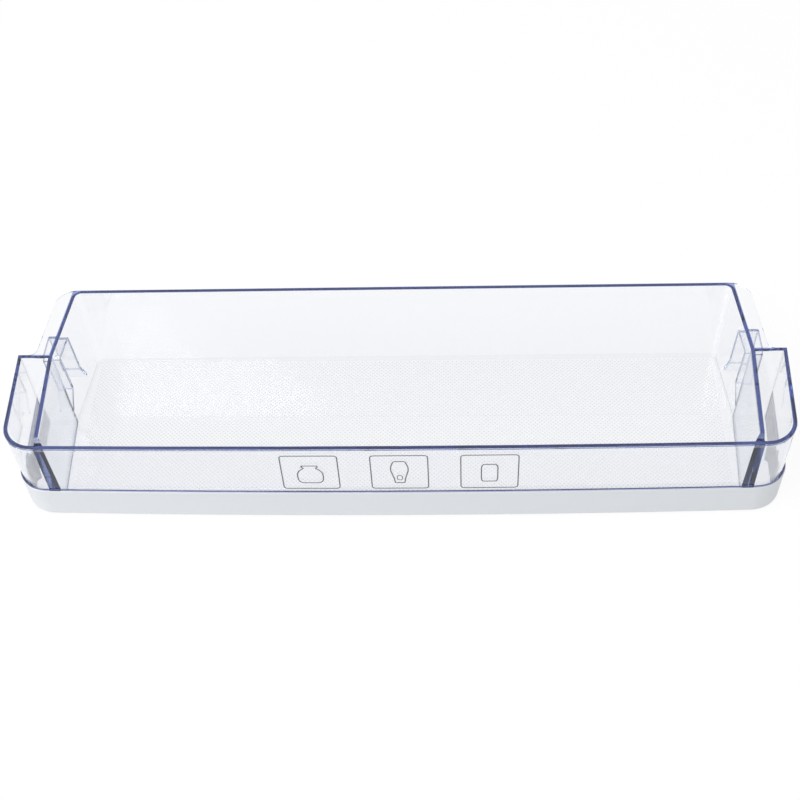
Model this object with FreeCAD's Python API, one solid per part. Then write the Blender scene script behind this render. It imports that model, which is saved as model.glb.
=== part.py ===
import FreeCAD, Part
import math
import os

# Fridge door shelf: a clear tray moulded in one piece, with a pocket at each front end, a flange
# and a hook channel outside each side wall, and an opaque trim band round its lower front.
# X is across the door, -Y is the front and +Z is up. The origin is the middle of the base.

# Tray, outer faces at the rim, in millimetres
rim_height = 69.0
wall = 2.4
floor_thickness = 2.5
back_y = 69.2
rear_width = 440.4
waist_width = 450.0
pocket_back_y = 10.9
pocket_width = 490.0
pocket_front_width = 480.6
front_y = -66.6
front_bow_rim = 1.5
front_bow_base = 2.5
bow_half_chord = 200.0
pocket_corner_radius = 20.0
rear_inner_radius = 4.0

# How far the walls lean in from the rim to the base
side_draft = 1.6
pocket_draft = 0.4
front_draft = 1.4

# Dividers between the main compartment and the pockets
divider_front_width = 440.4
gusset_along_divider = 11.0
gusset_along_front = 4.8
gusset_drop = 1.0
dip_length = 7.0
dip_depth = 2.2

# Side flanges at rim level
flange_thickness = 1.8
flange_rear_width = 459.6
flange_waist_width = 467.8
flange_rear_radius = 13.5
flange_pocket_radius = 5.0

# Hook channels, which drop over bosses on the door liner
hook_thickness = 2.4
hook_width = 466.8
hook_top_z = 58.4
hook_rear_y = 36.8
hook_front_y = 18.6
hook_lean = 1.5
hook_straight_z = 25.5
hook_mouth_z = 12.0
hook_mouth_flare = 7.0
hook_root_z = 12.0
hook_outer_radius = 3.0
hook_inner_radius = 1.0
hook_edge_round = 1.1

# Bead under the front rim
bead_proud = 0.8
bead_top_z = 68.3
bead_height = 1.4

# Trim band
trim_thickness = 1.4
trim_low_z = 2.0
trim_top_z = 26.0
trim_edge_round = 0.5

# Lip of the tray above the trim band
lip_proud = 0.9
lip_height = 0.9

base_round = 2.0
overrun = 1.0


def vector(x, y, z=0.0):
    return FreeCAD.Vector(x, y, z)


# A size at height z, on a wall that leans in by draft between the rim and the base.
def lean(at_rim, draft, z):
    return at_rim - draft * (rim_height - z) / rim_height


# The bow of the front at height z: its middle stands this far in front of the chord.
def front_bow(z):
    return front_bow_base + (front_bow_rim - front_bow_base) * z / rim_height


# The y of a bowed front line at x, for a chord line at y.
def bowed_y(x, y, z):
    return y + front_bow(z) * ((x / bow_half_chord) ** 2 - 1.0)


# Start, middle and end of the arc of this radius that rounds a corner.
def corner_arc(before, corner, after, radius):
    u = (before - corner).normalize()
    v = (after - corner).normalize()
    half_angle = u.getAngle(v) / 2.0
    reach = radius / math.tan(half_angle)
    bisector = (u + v).normalize()
    centre = corner + bisector * (radius / math.sin(half_angle))
    return corner + u * reach, centre - bisector * radius, corner + v * reach


# A closed wire through stations: a point is a sharp corner and a triple is a rounded one.
# bows gives a middle point for the edge that leaves a station.
def closed_wire(stations, bows=None):
    bows = bows or {}
    edges = []
    for i, station in enumerate(stations):
        following = stations[(i + 1) % len(stations)]
        if isinstance(station, tuple):
            edges.append(Part.Arc(*station).toShape())
            leave = station[2]
        else:
            leave = station
        arrive = following[0] if isinstance(following, tuple) else following
        if i in bows:
            edges.append(Part.Arc(leave, bows[i], arrive).toShape())
        else:
            edges.append(Part.LineSegment(leave, arrive).toShape())
    return Part.Wire(edges)


# A closed outline of points in one plane, with a radius at each.
def rounded_outline(points, radii):
    stations = []
    count = len(points)
    for i, radius in enumerate(radii):
        if radius:
            stations.append(corner_arc(points[i - 1], points[i], points[(i + 1) % count], radius))
        else:
            stations.append(points[i])
    return closed_wire(stations)


def loft(section, low_z, top_z):
    return Part.makeLoft([section(low_z), section(top_z)], True, True)


def prism(outline, direction):
    return Part.Face(outline).extrude(direction)


# Edges of a shape that lie wholly at height z.
def edges_at(shape, z):
    return [e for e in shape.Edges if all(abs(v.Z - z) < 0.01 for v in e.Vertexes)]


def mirrored(shape):
    return shape.mirror(vector(0, 0), vector(1, 0))


# Outline of the front block with both pockets. grow moves every face out,
# and front_grow moves the front alone.
def pocket_block_wire(z, grow=0.0, front_grow=0.0):
    back_x = lean(pocket_width / 2, pocket_draft, z) + grow
    front_x = lean(pocket_front_width / 2, pocket_draft, z) + grow
    rear = pocket_back_y + grow
    chord = -lean(-front_y, front_draft, z) - grow - front_grow
    corner_y = bowed_y(front_x, chord, z)
    slope = 2.0 * front_bow(z) * front_x / bow_half_chord**2
    ahead = vector(0, corner_y - slope * front_x, z)
    back_right = vector(back_x, rear, z)
    back_left = vector(-back_x, rear, z)
    right = corner_arc(back_right, vector(front_x, corner_y, z), ahead, pocket_corner_radius + grow)
    left = corner_arc(ahead, vector(-front_x, corner_y, z), back_left, pocket_corner_radius + grow)
    middle = vector(0, chord - front_bow(z), z)
    return closed_wire([back_left, back_right, right, left], {2: middle})


# Outline of the rear block, which reaches well into the front block.
def rear_block_wire(z):
    rear = lean(back_y, side_draft, z)
    rear_x = lean(rear_width / 2, side_draft, z)
    waist_x = lean(waist_width / 2, side_draft, z)
    waist_y = pocket_back_y - wall / 2
    inside_y = pocket_back_y - 30.0
    radius = rear_inner_radius + wall
    points = [vector(-waist_x, inside_y, z), vector(-waist_x, waist_y, z), vector(-rear_x, rear, z),
              vector(rear_x, rear, z), vector(waist_x, waist_y, z), vector(waist_x, inside_y, z)]
    return rounded_outline(points, [0, 0, radius, radius, 0, 0])


# Outline of the main compartment, between the dividers at the front.
def compartment_wire(z):
    rear = lean(back_y, side_draft, z) - wall
    rear_x = lean(rear_width / 2, side_draft, z) - wall
    waist_x = lean(waist_width / 2, side_draft, z) - wall
    front_x = lean(divider_front_width / 2, side_draft, z) - wall
    waist_y = pocket_back_y - wall / 2
    chord = -lean(-front_y, front_draft, z) + wall
    front_side_y = bowed_y(front_x, chord, z)
    points = [vector(-front_x, front_side_y, z), vector(-waist_x, waist_y, z), vector(-rear_x, rear, z),
              vector(rear_x, rear, z), vector(waist_x, waist_y, z), vector(front_x, front_side_y, z)]
    stations = list(points)
    for i in (2, 3):
        stations[i] = corner_arc(points[i - 1], points[i], points[i + 1], rear_inner_radius)
    return closed_wire(stations, {5: vector(0, chord - front_bow(z), z)})


# Outline of the right-hand pocket.
def pocket_wire(z):
    back_x = lean(pocket_width / 2, pocket_draft, z) - wall
    front_x = lean(pocket_front_width / 2, pocket_draft, z) - wall
    back_inner_x = waist_width / 2 + pocket_draft * (rim_height - z) / rim_height
    front_inner_x = divider_front_width / 2 + pocket_draft * (rim_height - z) / rim_height
    rear = pocket_back_y - wall
    chord = -lean(-front_y, front_draft, z) + wall
    points = [vector(back_inner_x, rear, z), vector(back_x, rear, z),
              vector(front_x, bowed_y(front_x, chord, z), z),
              vector(front_inner_x, bowed_y(front_inner_x, chord, z), z)]
    return rounded_outline(points, [0, 0, pocket_corner_radius - wall, 0])


# Plan of the right-hand flange: out from the back wall, round its rear corner,
# along the side and through a hollow corner into the pocket's back wall.
# Its inner edge lies in the walls, and the compartment is cut out after it.
def flange_outline(z):
    wall_middle = wall / 2
    inner_corner = rear_inner_radius + wall
    points = [vector(rear_width / 2 - 8.0, back_y - wall_middle, z),
              vector(rear_width / 2 - 8.0, back_y, z),
              vector(flange_rear_width / 2, back_y, z),
              vector(flange_waist_width / 2, pocket_back_y, z),
              vector(flange_waist_width / 2 + 6.0, pocket_back_y, z),
              vector(flange_waist_width / 2 + 6.0, pocket_back_y - wall_middle, z),
              vector(waist_width / 2 - wall_middle, pocket_back_y - wall_middle, z),
              vector(rear_width / 2 - inner_corner, back_y - inner_corner, z)]
    return rounded_outline(points, [0, 0, flange_rear_radius, flange_pocket_radius, 0, 0, 0, 0])


# Both sides of a bent strip of this thickness along a middle line in the YZ plane.
def strip_sides(line, thickness):
    sides = ([], [])
    for i, point in enumerate(line):
        along = [line[j + 1] - line[j] for j in (i - 1, i) if 0 <= j < len(line) - 1]
        normals = [vector(0, -d.z, d.y).normalize() for d in along]
        total = normals[0] + normals[-1]
        offset = total * (thickness / total.dot(normals[0]) / 2.0)
        sides[0].append(point + offset)
        sides[1].append(point - offset)
    return sides


# Right-hand hook channel: an upside-down U with a flared mouth, standing out from the side wall,
# with its free edge rounded. Its root lies in the wall, and the compartment is cut out after it.
def hook_channel():
    top = hook_top_z - hook_thickness / 2
    line = [vector(0, hook_rear_y + hook_mouth_flare, hook_mouth_z),
            vector(0, hook_rear_y + hook_lean, hook_straight_z),
            vector(0, hook_rear_y, top),
            vector(0, hook_front_y, top),
            vector(0, hook_front_y + hook_lean, hook_straight_z),
            vector(0, pocket_back_y - wall / 2, hook_root_z)]
    outer, inner = strip_sides(line, hook_thickness)
    round_out, round_in = hook_outer_radius, hook_inner_radius
    radii = [1.1, round_out, round_in, round_in, round_in, 0, 0, round_out, round_out, round_out,
             round_in, 1.1]
    outline = rounded_outline(outer + inner[::-1], radii)
    root_x = waist_width / 2 - 10.0
    outline.translate(vector(root_x, 0))
    strip = prism(outline, vector(hook_width / 2 - root_x, 0, 0))
    free_edges = [e for e in strip.Edges if all(abs(v.X - hook_width / 2) < 0.01 for v in e.Vertexes)]
    return strip.makeFillet(hook_edge_round, free_edges)


# Right-hand gusset: a three-sided post in the corner of divider and front wall.
def gusset():
    front_x = divider_front_width / 2 - wall / 2

    def section(z):
        shift = side_draft * (rim_height - z) / rim_height
        x = front_x - shift
        chord = -lean(-front_y, front_draft, z) + wall / 2
        toward_waist = (waist_width - divider_front_width) / 2 / (pocket_back_y - front_y)
        points = [vector(x, chord, z),
                  vector(x + toward_waist * gusset_along_divider, chord + gusset_along_divider, z),
                  vector(x - gusset_along_front - wall / 2, chord, z)]
        return rounded_outline(points, [0, 0, 0])

    return loft(section, floor_thickness - 0.5, rim_height - gusset_drop)


# Right-hand dip in the divider's top edge where it meets the front wall.
def divider_dip():
    front = bowed_y(divider_front_width / 2, front_y + wall, rim_height)
    points = [vector(0, front, rim_height + overrun), vector(0, front, rim_height - dip_depth),
              vector(0, front + dip_length * 0.5, rim_height - dip_depth),
              vector(0, front + dip_length, rim_height), vector(0, front + dip_length, rim_height + overrun)]
    outline = rounded_outline(points, [0, 0, 3.0, 0, 0])
    outline.translate(vector(divider_front_width / 2 - gusset_along_front - wall - 4.0, 0))
    return prism(outline, vector(gusset_along_front + wall + 5.0, 0, 0))


def tray():
    front_block = loft(pocket_block_wire, 0.0, rim_height)
    rear_block = loft(rear_block_wire, 0.0, rim_height)
    front_block = front_block.makeFillet(base_round, edges_at(front_block, 0.0))
    rear_block = rear_block.makeFillet(base_round, edges_at(rear_block, 0.0))
    body = front_block.fuse(rear_block)
    flange = prism(flange_outline(rim_height - flange_thickness), vector(0, 0, flange_thickness))
    hook = hook_channel()
    bead = Part.makeLoft([pocket_block_wire(bead_top_z - bead_height, front_grow=bead_proud * 0.6),
                          pocket_block_wire(bead_top_z, front_grow=bead_proud)], True, True)
    lip = ring_outside(trim_top_z, trim_top_z + lip_height, lip_proud)
    body = body.fuse([flange, mirrored(flange), hook, mirrored(hook), bead, lip])
    low, top = floor_thickness, rim_height + overrun
    pocket = loft(pocket_wire, low, top)
    body = body.cut([loft(compartment_wire, low, top), pocket, mirrored(pocket)])
    post = gusset()
    body = body.fuse([post, mirrored(post)])
    dip = divider_dip()
    body = body.cut([dip, mirrored(dip)])
    return body.removeSplitter()


# A block this much larger than the front block, between two heights, up to the pockets' back.
def ring_outside(low_z, top_z, proud, edge_round=0.0):
    ring = Part.makeLoft([pocket_block_wire(low_z, proud), pocket_block_wire(top_z, proud)], True, True)
    if edge_round:
        ring = ring.makeFillet(edge_round, edges_at(ring, low_z) + edges_at(ring, top_z))
    behind = Part.makeBox(2 * pocket_width, 10.0, rim_height, vector(-pocket_width, pocket_back_y, 0))
    return ring.cut(behind)


# Trim band: follows the front block's outside from one pocket's back wall round the front to the other.
def trim_band():
    block = loft(pocket_block_wire, 0.0, rim_height)
    return ring_outside(trim_low_z, trim_top_z, trim_thickness, trim_edge_round).cut(block)


def solid_of(shape):
    solids = shape.Solids
    print("solids", len(solids), "valid", shape.isValid(), "volume mm3", round(shape.Volume))
    return solids[0] if len(solids) == 1 else shape


os.makedirs("parts", exist_ok=True)
for name, make in (("tray_body", tray), ("trim_band", trim_band)):
    print(name)
    solid_of(make()).exportStep("parts/" + name + ".step")
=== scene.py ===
import math

import bmesh
import bpy
import numpy as np
from mathutils import Matrix, Vector


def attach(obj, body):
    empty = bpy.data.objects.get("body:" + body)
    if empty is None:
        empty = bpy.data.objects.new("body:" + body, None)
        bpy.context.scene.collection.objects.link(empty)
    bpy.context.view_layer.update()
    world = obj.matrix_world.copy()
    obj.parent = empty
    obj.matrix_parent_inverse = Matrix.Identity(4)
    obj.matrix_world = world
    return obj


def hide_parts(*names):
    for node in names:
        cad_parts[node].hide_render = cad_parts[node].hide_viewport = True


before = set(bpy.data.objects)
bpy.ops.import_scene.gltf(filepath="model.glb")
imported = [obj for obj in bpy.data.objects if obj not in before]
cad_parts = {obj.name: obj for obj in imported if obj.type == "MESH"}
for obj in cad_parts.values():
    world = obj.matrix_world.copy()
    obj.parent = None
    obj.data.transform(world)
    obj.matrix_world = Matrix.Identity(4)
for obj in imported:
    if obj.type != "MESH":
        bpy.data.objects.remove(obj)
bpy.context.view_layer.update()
scene = bpy.context.scene
mm = 0.001

print("helpers")


# sRGB hex to the linear colour that shaders take
def linearColour(hexText):
    channels = [int(hexText[i:i + 2], 16) / 255.0 for i in (1, 3, 5)]
    return tuple(c / 12.92 if c <= 0.04045 else ((c + 0.055) / 1.055) ** 2.4 for c in channels) + (1.0,)


def newMaterial(name):
    material = bpy.data.materials.new(name)
    material.use_nodes = True
    material.node_tree.nodes.clear()
    return material


# Adds a node: settings go on the node, values and links on its inputs, by name or number
def addNode(material, kind, settings=None, values=None):
    tree = material.node_tree
    node = tree.nodes.new(kind)
    for key, value in (settings or {}).items():
        setattr(node, key, value)
    for key, value in (values or {}).items():
        if isinstance(value, bpy.types.NodeSocket):
            tree.links.new(value, node.inputs[key])
        else:
            node.inputs[key].default_value = value
    return node


def newPiece(name, vertices, faces, material):
    mesh = bpy.data.meshes.new(name)
    mesh.from_pydata(np.asarray(vertices).tolist(), [], np.asarray(faces).tolist())
    mesh.materials.append(material)
    piece = bpy.data.objects.new(name, mesh)
    scene.collection.objects.link(piece)
    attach(piece, "root")
    return piece


print("materials")

plastic = {
    "surface": "#fefefe",   # what one polished face passes
    "edge": "#5866b2",      # painted shade: the darker blue drawn on the rim, and in part on the lip and the hooks, for how they look seen along the plastic
    "depth": "#7296cd",     # what is left after a long way inside
    "density": 26.0,        # how soon it gets there, per metre
    "ior": 1.59,
    "roughness": 0.035,
    "underside": 0.15,      # roughness of the finely eroded face it stands on
}
grain = {
    "pitch": 3.0,           # mm between dimples along X, in staggered rows
    "dimpleShade": 0.2,            # painted shade: how much darker the colour in a dimple is drawn
    "relief": 0.1,          # mm
    "strength": 0.15,
    "halfWidth": 214.0,     # mm, the grained area ends there at a smooth border
    "halfDepth": 60.4,
    "middleY": 2.0,
}
# mm, where the plastic gets painted shade on the rim, upright shading on the dividers and a matt underside
zones = {
    "rimFrom": 68.7,                                # the rim's top face lies above
    "flangeFrom": 11.0, "flangeBeyond": 225.9,      # side flanges: y above the first, |x| + lean y above the second
    "flangeLean": 0.0823,
    "dividerX": (222.0, 14.0), "dividerY": (-27.5, 36.5), "dividerZ": (36.0, 31.0),    # middle and half size
    "underBelow": 0.3,
}


# Clear blue-tinted polystyrene, injection moulded in a polished tool: almost colourless through one
# wall, deep blue where the eye looks along a wall, as at the rims, where that blue is painted on as shade,
# and in part on the lip and the hooks. The floor has a fine diamond grain, its dimples also painted darker
# as shade, and its underside is slightly matt, so light that runs inside the walls comes out there.
def clearPlastic():
    material = newMaterial("clear blue-tinted polystyrene, moulded")

    def maths(operation, first, second=0.0):
        return addNode(material, "ShaderNodeMath", {"operation": operation}, {0: first, 1: second}).outputs[0]

    def within(axis, middle, half):
        return maths("LESS_THAN", maths("ABSOLUTE", maths("SUBTRACT", axis, middle * mm)), half * mm)

    def both(first, second):
        return maths("MULTIPLY", first, second)

    def mixed(share, first, second):
        return addNode(material, "ShaderNodeMix", {"data_type": "RGBA"}, {0: share, 6: first, 7: second}).outputs[2]

    place = addNode(material, "ShaderNodeTexCoord").outputs["Object"]
    x, y, z = addNode(material, "ShaderNodeSeparateXYZ", None, {0: place}).outputs
    across = maths("ABSOLUTE", x)

    # dimples: the product of two waves along the diagonals, as the mean of cos(x + y) and cos(x - y)
    turn = 2.0 * math.pi / (grain["pitch"] * mm)
    diagonals = [maths("COSINE", maths("MULTIPLY", maths(sign, x, y), turn)) for sign in ("ADD", "SUBTRACT")]
    waves = maths("MULTIPLY", maths("ADD", diagonals[0], diagonals[1]), 0.5)
    dimples = addNode(material, "ShaderNodeMapRange", {"interpolation_type": "SMOOTHSTEP"},
                      {0: waves, 1: 0.0, 2: 0.8}).outputs[0]
    grained = both(both(within(x, 0.0, grain["halfWidth"]), within(y, grain["middleY"], grain["halfDepth"])),
                   within(z, 2.4, 0.4))
    dentsAndShade = both(dimples, grained)

    # painted shade: the dimples are drawn in a darker colour, besides being dented by the bump
    clear = linearColour(plastic["surface"])
    shade = tuple(c * (1.0 - grain["dimpleShade"]) for c in clear[:3]) + (1.0,)
    flange = both(maths("GREATER_THAN", y, zones["flangeFrom"] * mm),
                  maths("GREATER_THAN", maths("ADD", across, maths("MULTIPLY", y, zones["flangeLean"])),
                        zones["flangeBeyond"] * mm))
    # painted shade: the rim's top face outside the flanges, and the lip and hook faces by their share attribute,
    # are drawn in the darker blue edge colour
    paintedRimShade = both(maths("GREATER_THAN", z, zones["rimFrom"] * mm), maths("SUBTRACT", 1.0, flange))
    share = addNode(material, "ShaderNodeAttribute", {"attribute_name": "paintedShadeShare"}).outputs["Fac"]
    colour = mixed(maths("MAXIMUM", paintedRimShade, share), mixed(dentsAndShade, clear, shade), linearColour(plastic["edge"]))

    # the two dividers shade as plates with parallel upright faces, so that they stay clear at a glancing look
    divider = both(both(within(across, *zones["dividerX"]), within(y, *zones["dividerY"])),
                   within(z, *zones["dividerZ"]))
    keep = addNode(material, "ShaderNodeCombineXYZ", None,
                   {0: 1.0, 1: 1.0, 2: maths("SUBTRACT", 1.0, divider)}).outputs[0]
    facing = addNode(material, "ShaderNodeVectorMath", {"operation": "MULTIPLY"},
                     {0: addNode(material, "ShaderNodeNewGeometry").outputs["Normal"], 1: keep}).outputs[0]
    facing = addNode(material, "ShaderNodeVectorMath", {"operation": "NORMALIZE"}, {0: facing}).outputs[0]
    relief = addNode(material, "ShaderNodeBump", None,
                     {"Strength": grain["strength"], "Distance": grain["relief"] * mm, "Height": dentsAndShade,
                      "Normal": facing})

    gloss = addNode(material, "ShaderNodeMapRange", None,
                    {0: maths("LESS_THAN", z, zones["underBelow"] * mm), 3: plastic["roughness"],
                     4: plastic["underside"]})
    shader = addNode(material, "ShaderNodeBsdfPrincipled", None,
                     {"Base Color": colour, "Roughness": gloss.outputs[0], "IOR": plastic["ior"],
                      "Transmission Weight": 1.0, "Normal": relief.outputs[0]})
    inside = addNode(material, "ShaderNodeVolumeAbsorption", None,
                     {"Color": linearColour(plastic["depth"]), "Density": plastic["density"]})
    addNode(material, "ShaderNodeOutputMaterial", None, {"Surface": shader.outputs[0], "Volume": inside.outputs[0]})
    return material


trim = {
    "colour": "#e2e5e9",
    "roughness": 0.42,
    "grain": 0.6,           # mm, drawn coarser than the real satin, which is too fine to show
    "relief": 0.04,         # mm
    "strength": 0.25,
}


# Light grey ABS, moulded with a fine satin grain: an even, soft sheen with no sharp reflection.
def satinTrim():
    material = newMaterial("light grey ABS, satin moulded")
    place = addNode(material, "ShaderNodeTexCoord").outputs["Object"]
    speckle = addNode(material, "ShaderNodeTexNoise", None, {"Vector": place, "Scale": 1.0 / (trim["grain"] * mm)})
    relief = addNode(material, "ShaderNodeBump", None,
                     {"Strength": trim["strength"], "Distance": trim["relief"] * mm, "Height": speckle.outputs[0]})
    shader = addNode(material, "ShaderNodeBsdfPrincipled", None,
                     {"Base Color": linearColour(trim["colour"]), "Roughness": trim["roughness"], "IOR": 1.52,
                      "Normal": relief.outputs[0]})
    addNode(material, "ShaderNodeOutputMaterial", None, {"Surface": shader.outputs[0]})
    return material


printing = {
    "thick": "#5c5c64",
    "thin": "#6a6a72",
    "unevenness": 0.8,      # mm, how far apart thick and thin spots of the film lie
    "roughness": 0.6,
}


# Grey ink, pad printed on the wall: flat and dull, with a slightly uneven film.
def printInk():
    material = newMaterial("grey printing ink, pad printed")
    place = addNode(material, "ShaderNodeTexCoord").outputs["Object"]
    film = addNode(material, "ShaderNodeTexNoise", None,
                   {"Vector": place, "Scale": 1.0 / (printing["unevenness"] * mm)})
    colour = addNode(material, "ShaderNodeMix", {"data_type": "RGBA"},
                     {0: film.outputs[0], 6: linearColour(printing["thick"]),
                      7: linearColour(printing["thin"])}).outputs[2]
    shader = addNode(material, "ShaderNodeBsdfPrincipled", None,
                     {"Base Color": colour, "Roughness": printing["roughness"], "IOR": 1.5})
    addNode(material, "ShaderNodeOutputMaterial", None, {"Surface": shader.outputs[0]})
    return material


clear, satin, ink = clearPlastic(), satinTrim(), printInk()

print("tray and trim band")
moulding = {
    "rimRound": 0.15,       # mm, how the tool leaves sharp edges
    "roundFrom": 35.0,      # degrees between faces, from which an edge is rounded
    "airGap": 0.03,         # mm of air between band and tray, so that the tray still shines inside
    "sharpFrom": 28.0,      # degrees between faces, from which an edge is sharp
    "flatFrom": 400.0,      # mm2, from which a face is taken as flat and not as part of a curve
    "bendFrom": 2.0,        # degrees between two flat faces, from which their edge is sharp
}
# share of the edge colour painted on as shade, and the mm between which the pieces' faces lie
paintedShadeAlong = {
    "lip": 0.8, "lipLow": 25.9, "lipTop": 27.1,
    "hook": 0.5, "hookFrom": 225.5, "hookFront": 15.0, "hookBack": 42.0, "hookTop": 60.0,
}


# A merged copy of a CAD node: triangles in one plane become one face, curves shade smoothly, edges
# between flat faces stay crisp and sharp ones are rounded; lip and hook faces get a share of painted shade
def dressedCopy(node, name, material, rounded):
    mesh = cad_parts[node].data.copy()
    mesh.name = name
    work = bmesh.new()
    work.from_mesh(mesh)
    bmesh.ops.remove_doubles(work, verts=work.verts, dist=2e-6)
    bmesh.ops.dissolve_limit(work, angle_limit=math.radians(0.1), verts=work.verts, edges=work.edges)
    # painted shade: lip and hook faces get a share of the darker blue edge colour
    share = work.faces.layers.float.new("paintedShadeShare")
    for face in work.faces:
        face.smooth = True
        x, y, z = np.array([corner.co for corner in face.verts]).T / mm
        onLip = z.min() > paintedShadeAlong["lipLow"] and z.max() < paintedShadeAlong["lipTop"]
        onHook = (np.abs(x).min() > paintedShadeAlong["hookFrom"] and y.min() > paintedShadeAlong["hookFront"]
                  and y.max() < paintedShadeAlong["hookBack"] and z.max() < paintedShadeAlong["hookTop"])
        face[share] = paintedShadeAlong["lip"] if onLip else paintedShadeAlong["hook"] if onHook else 0.0
    flat = moulding["flatFrom"] * mm * mm
    for edge in work.edges:
        bend = math.degrees(edge.calc_face_angle(math.pi))
        twoFlat = all(face.calc_area() > flat for face in edge.link_faces)
        edge.smooth = bend < moulding["sharpFrom"] and not (twoFlat and bend > moulding["bendFrom"])
    mesh.clear_geometry()
    work.to_mesh(mesh)
    work.free()
    mesh.materials.clear()
    mesh.materials.append(material)
    piece = bpy.data.objects.new(name, mesh)
    scene.collection.objects.link(piece)
    if rounded:
        rounding = piece.modifiers.new("moulded edges", "BEVEL")
        rounding.width = moulding["rimRound"] * mm
        rounding.segments = 2
        rounding.limit_method = "ANGLE"
        rounding.angle_limit = math.radians(moulding["roundFrom"])
    shading = piece.modifiers.new("even faces", "WEIGHTED_NORMAL")
    shading.weight = 100
    shading.keep_sharp = True
    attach(piece, "root")
    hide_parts(node)
    return piece


dressedCopy("tray_body", "tray", clear, True)
band = dressedCopy("trim_band", "trim", satin, False)
gap = band.modifiers.new("air gap", "DISPLACE")
gap.mid_level = 0.0
gap.strength = -moulding["airGap"] * mm
band.modifiers.move(1, 0)

print("pictograms")
wall = {"front": 66.6, "lean": 1.4, "height": 69.0, "bowBase": 2.5, "bowRim": 1.5, "halfChord": 200.0}
prints = {
    "line": 0.7,            # mm, printed line width
    "fineLine": 0.5,
    "film": 0.08,           # mm the ink stands off the wall
    "low": 29.5,            # mm above the base, where the frames begin and end
    "high": 62.5,
    "width": 35.0,
    "corner": 2.5,
    "middles": (-52.5, 2.5, 57.45),
}


# Outer face of the front wall: y at (x, z) is the leaning chord line plus a parabola across it, in mm
def frontFace(x, z):
    bow = wall["bowBase"] + (wall["bowRim"] - wall["bowBase"]) * z / wall["height"]
    chord = wall["front"] - wall["lean"] * (wall["height"] - z) / wall["height"]
    return -chord + bow * ((x / wall["halfChord"]) ** 2 - 1.0)


# Closed outline with rounded corners: each corner P is replaced by the quadratic curve
# (1-t)^2 A + 2t(1-t) P + t^2 B between points A and B that lie the radius away on its two sides
def roundedPath(corners, radii, steps=7):
    corner = np.array(corners, float)
    before, after = np.roll(corner, 1, 0) - corner, np.roll(corner, -1, 0) - corner
    reach = np.broadcast_to(np.array(radii, float), (len(corner),))[:, None]
    start = corner + before / np.linalg.norm(before, axis=1, keepdims=True) * reach
    end = corner + after / np.linalg.norm(after, axis=1, keepdims=True) * reach
    t = np.linspace(0.0, 1.0, steps)[None, :, None]
    curve = (1 - t) ** 2 * start[:, None] + 2 * t * (1 - t) * corner[:, None] + t ** 2 * end[:, None]
    return curve.reshape(-1, 2)


# A printed line: a rectangle, line wide and film thick, carried along a closed path of (x, z) on the
# front wall. Its corners are the path plus or minus half the width along the normal, on the wall and off it.
def printedLine(path, width):
    along = np.roll(path, -1, 0) - np.roll(path, 1, 0)
    along /= np.linalg.norm(along, axis=1, keepdims=True)
    across = np.stack([along[:, 1], -along[:, 0]], 1) * width / 2
    sides = np.array([-1.0, 1.0, 1.0, -1.0])[None, :, None]
    flat = path[:, None, :] + across[:, None, :] * sides
    off = np.array([0.01, 0.01, 1.0, 1.0])[None, :] * prints["film"]
    x, z = flat[..., 0], flat[..., 1]
    points = np.stack([x, frontFace(x, z) - off, z], -1) * mm
    count = len(path)
    i, k = np.meshgrid(np.arange(count), np.arange(4), indexing="ij")
    nextI, nextK = (i + 1) % count, (k + 1) % 4
    faces = np.stack([i * 4 + k, i * 4 + nextK, nextI * 4 + nextK, nextI * 4 + k], -1).reshape(-1, 4)
    return points.reshape(-1, 3), faces


def pictogram(name, middle, shapes):
    points, faces, count = [], [], 0
    for path, width in shapes:
        p, f = printedLine(path + np.array([middle, 0.0]), width)
        points.append(p)
        faces.append(f + count)
        count += len(p)
    piece = newPiece(name, np.concatenate(points), np.concatenate(faces), ink)
    work = bmesh.new()
    work.from_mesh(piece.data)
    bmesh.ops.recalc_face_normals(work, faces=work.faces)
    work.to_mesh(piece.data)
    work.free()


# outlines as (x from the pictogram's middle, z), and the radius at each corner, in mm
half = prints["width"] / 2
border = roundedPath([(-half, prints["low"]), (half, prints["low"]), (half, prints["high"]),
                      (-half, prints["high"])], prints["corner"])
jar = roundedPath([(-4.9, 52.6), (4.9, 52.6), (4.9, 51.3), (3.5, 50.3), (8.1, 46.6), (7.6, 35.4), (-7.6, 35.4),
                   (-8.1, 46.6), (-3.5, 50.3), (-4.9, 51.3)],
                  [0.3, 0.3, 0.3, 0.7, 4.0, 4.2, 4.2, 4.0, 0.7, 0.3])
bottle = roundedPath([(-3.6, 56.7), (3.6, 56.7), (5.9, 49.5), (3.3, 39.0), (3.0, 35.3), (-3.0, 35.3),
                      (-3.3, 39.0), (-5.9, 49.5)], [1.6, 1.6, 4.0, 1.5, 0.8, 0.8, 1.5, 4.0])
angle = np.linspace(0, 2 * np.pi, 24, endpoint=False)
ring = np.stack([1.7 * np.cos(angle), 40.4 + 2.4 * np.sin(angle)], 1)
can = roundedPath([(-3.8, 53.2), (3.8, 53.2), (5.0, 51.0), (5.0, 38.6), (4.2, 36.2), (-4.2, 36.2), (-5.0, 38.6),
                   (-5.0, 51.0)], [0.8, 0.8, 1.0, 1.0, 0.8, 0.8, 1.0, 1.0])
line, fineLine = prints["line"], prints["fineLine"]
pictogram("pictogram_jar", prints["middles"][0], [(border, line), (jar, line)])
pictogram("pictogram_bottle", prints["middles"][1], [(border, line), (bottle, line), (ring, fineLine)])
pictogram("pictogram_can", prints["middles"][2], [(border, line), (can, line)])

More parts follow.
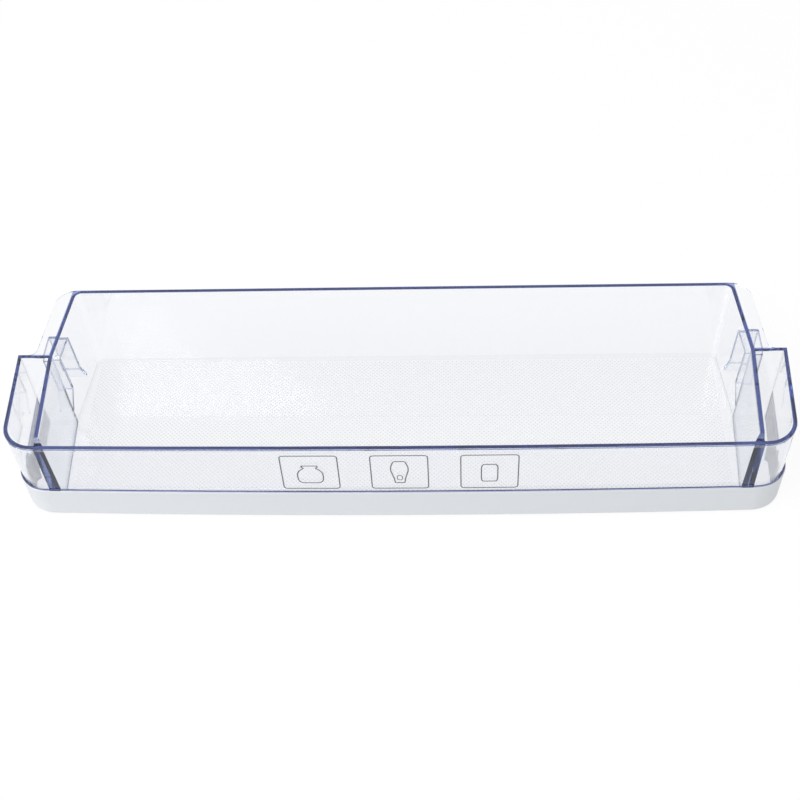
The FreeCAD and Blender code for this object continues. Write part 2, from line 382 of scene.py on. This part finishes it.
print("stage")
studio = {
    "paper": 0.9,                       # what the paper reflects of the lamps' light
    "paperGlow": 0.9,                   # share of plain white in it where the eye or a gloss sees it
    "white": 1.02,
    "paperDrop": 0.2,                   # mm below the base
    "worldFill": 0.55,
    "softbox": 26.0,                    # W
    "softboxPlace": (-0.9, -0.7, 1.7),  # m
    "softboxSize": (1.6, 1.2),
}


# Paper and air look white to the camera, in gloss and through clear plastic, and light the rest softly
def rayGate(material):
    rays = addNode(material, "ShaderNodeLightPath").outputs
    first = addNode(material, "ShaderNodeMath", {"operation": "MAXIMUM"},
                    {0: rays["Is Camera Ray"], 1: rays["Is Glossy Ray"]}).outputs[0]
    return addNode(material, "ShaderNodeMath", {"operation": "MAXIMUM"},
                   {0: first, 1: rays["Is Transmission Ray"]}).outputs[0]


paper = newMaterial("white paper, matt")
glow = addNode(paper, "ShaderNodeMath", {"operation": "MULTIPLY"}, {0: rayGate(paper), 1: studio["paperGlow"]})
bare = addNode(paper, "ShaderNodeBsdfDiffuse", None, {"Color": (studio["paper"],) * 3 + (1,)})
lit = addNode(paper, "ShaderNodeEmission", None, {"Color": (1, 1, 1, 1), "Strength": studio["white"]})
sheet = addNode(paper, "ShaderNodeMixShader", None, {0: glow.outputs[0], 1: bare.outputs[0], 2: lit.outputs[0]})
addNode(paper, "ShaderNodeOutputMaterial", None, {0: sheet.outputs[0]})

floorMesh = bpy.data.meshes.new("floor")
floorMesh.from_pydata([(-6, -6, 0), (6, -6, 0), (6, 6, 0), (-6, 6, 0)], [], [(0, 1, 2, 3)])
floorMesh.transform(Matrix.Translation((0, 0, -studio["paperDrop"] * mm)))
floorMesh.materials.append(paper)
floor = bpy.data.objects.new("floor", floorMesh)
scene.collection.objects.link(floor)

world = bpy.data.worlds.new("studio")
scene.world = world
world.use_nodes = True
world.node_tree.nodes.clear()
fill = addNode(world, "ShaderNodeMapRange", None, {0: rayGate(world), 3: studio["worldFill"], 4: 1.0})
air = addNode(world, "ShaderNodeBackground", None, {0: (1, 1, 1, 1), 1: fill.outputs[0]})
addNode(world, "ShaderNodeOutputWorld", None, {0: air.outputs[0]})

lamp = bpy.data.lights.new("softbox", "AREA")
lamp.shape = "RECTANGLE"
lamp.size, lamp.size_y = studio["softboxSize"]
lamp.energy = studio["softbox"]
softbox = bpy.data.objects.new("softbox", lamp)
scene.collection.objects.link(softbox)
softbox.location = studio["softboxPlace"]
softbox.rotation_euler = (Vector((0, 0, 0)) - Vector(softbox.location)).to_track_quat("-Z", "Y").to_euler()

scene.view_settings.view_transform = "Standard"
scene.cycles.max_bounces = 40           # light that runs down inside a wall bounces many times
scene.cycles.glossy_bounces = 32
scene.cycles.transmission_bounces = 32

print("camera")
view = {
    "place": (0.040757, -0.543406, 0.675429),       # m
    "pitch": 49.654, "yaw": -4.225, "roll": -3.693,     # degrees
    "focal": 1290.63,                               # px, in an image 800 px wide
}
pitch, yaw, roll = (math.radians(view[key]) for key in ("pitch", "yaw", "roll"))
forward = Vector((math.sin(yaw) * math.cos(pitch), math.cos(yaw) * math.cos(pitch), -math.sin(pitch)))
level = Vector((math.cos(yaw), -math.sin(yaw), 0.0))
upward = level.cross(forward)
right = level * math.cos(roll) + upward * math.sin(roll)
up = upward * math.cos(roll) - level * math.sin(roll)
cameraData = bpy.data.cameras.new("camera")
cameraData.sensor_width = 36.0
cameraData.lens = view["focal"] * 36.0 / 800.0
camera = bpy.data.objects.new("camera", cameraData)
scene.collection.objects.link(camera)
turned = Matrix((right, up, -forward)).transposed().to_4x4()
camera.matrix_world = Matrix.Translation(view["place"]) @ turned
scene.camera = camera

print("done")
